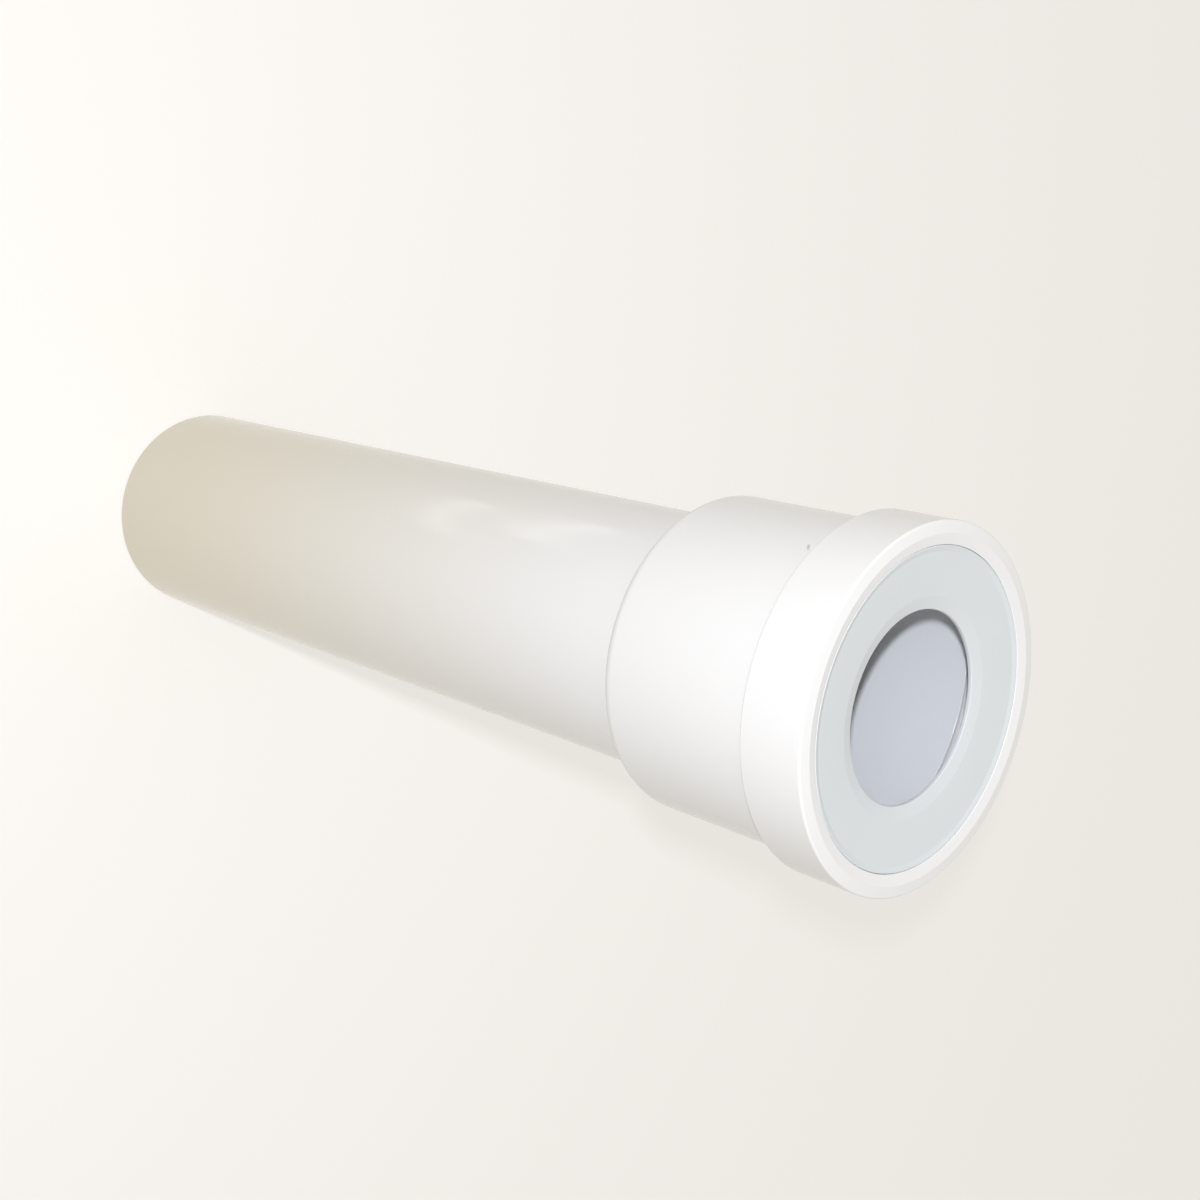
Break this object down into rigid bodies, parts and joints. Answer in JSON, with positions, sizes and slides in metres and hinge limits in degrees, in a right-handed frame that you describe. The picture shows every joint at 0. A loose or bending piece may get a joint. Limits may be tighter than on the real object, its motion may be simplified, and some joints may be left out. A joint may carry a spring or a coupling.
{
  "type": "extension pipe",
  "caption": "White plastic toilet extension pipe: a plain spigot tube widens to a socket with a collar, and a grey rubber lip seal closes in its mouth.",
  "frame": {"origin": "centre of the spigot's end, on the axis of the pipe", "axes": "+Z along the axis from the spigot end up to the mouth, X and Y across it"},
  "size_m": [0.1433, 0.1434, 0.505],
  "materials": {
    "pipe_plastic": "smooth white moulding with a soft gloss",
    "seal_rubber": "matt pale grey rubber"
  },
  "bodies": {
    "root": {"pipe": "pipe_plastic", "seal": "seal_rubber"}
  },
  "joints": []
}
